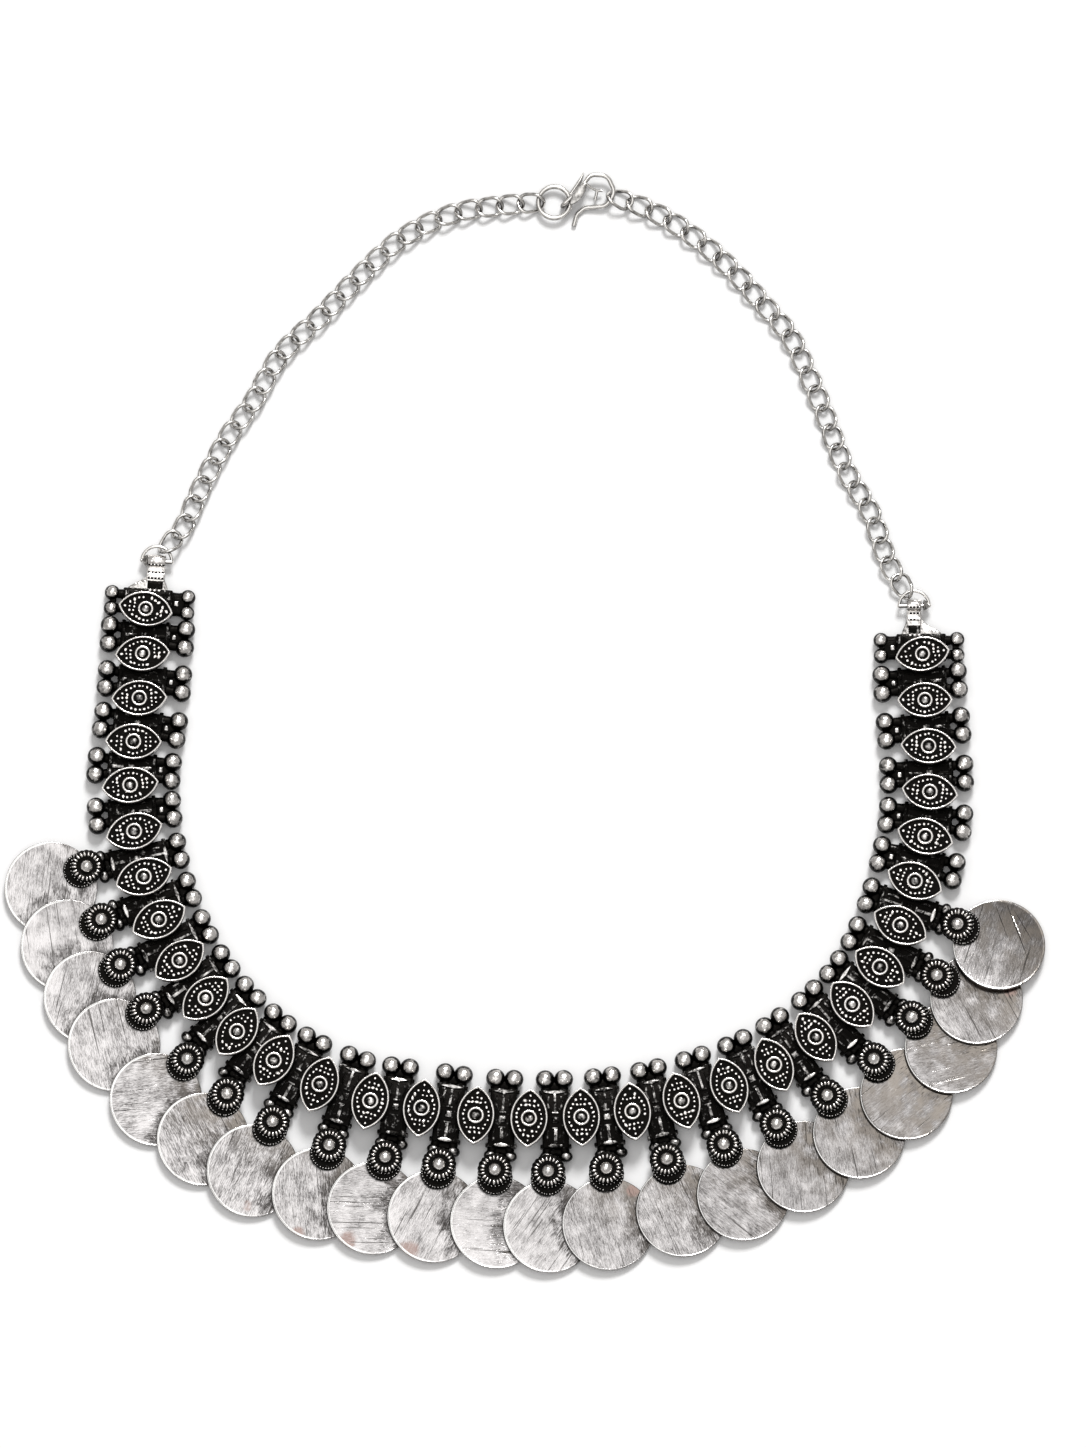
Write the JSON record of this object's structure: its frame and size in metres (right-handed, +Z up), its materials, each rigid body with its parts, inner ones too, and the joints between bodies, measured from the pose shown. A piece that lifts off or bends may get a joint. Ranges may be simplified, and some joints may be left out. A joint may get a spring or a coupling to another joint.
{
  "type": "coin necklace",
  "caption": "Darkened silver collar of eye-shaped tiles and cross bars with overlapping plain coins along its outer edge, on short chains with a ring and S-hook.",
  "frame": {"origin": "middle of the necklace's outline, on the surface it lies on", "axes": "+Z up from the surface, +Y from the lowest coins towards the clasp, +X towards the end with the hook's chain"},
  "size_m": [0.187, 0.2, 0.0053],
  "materials": {
    "dark_silver": "cast silver, blackened in the recesses and polished on the high points",
    "coin_silver": "scratch-brushed plain silver coin faces",
    "bright_silver": "bright drawn wire",
    "thread": "waxed black thread"
  },
  "bodies": {
    "root": {"cross_bars": "dark_silver", "eye_tiles": "dark_silver", "end_plate_left": "dark_silver", "end_plate_right": "dark_silver", "band_thread_outer": "thread", "band_thread_inner": "thread", "coin_pendant_01": "coin_silver", "coin_pendant_02": "coin_silver", "coin_pendant_03": "coin_silver", "coin_pendant_04": "coin_silver", "coin_pendant_05": "coin_silver", "coin_pendant_06": "coin_silver", "coin_pendant_07": "coin_silver", "coin_pendant_08": "coin_silver", "coin_pendant_09": "coin_silver", "coin_pendant_10": "coin_silver", "coin_pendant_11": "coin_silver", "coin_pendant_12": "coin_silver", "coin_pendant_13": "coin_silver", "coin_pendant_14": "coin_silver", "coin_pendant_15": "coin_silver", "coin_pendant_16": "coin_silver", "coin_pendant_17": "coin_silver", "coin_pendant_18": "coin_silver", "coin_pendant_19": "coin_silver", "coin_pendant_20": "coin_silver", "coin_pendant_21": "coin_silver", "shackle_left": "bright_silver", "shackle_right": "bright_silver", "chain_left": "bright_silver", "chain_right": "bright_silver", "clasp_ring": "bright_silver", "clasp_hook": "bright_silver"}
  },
  "joints": []
}
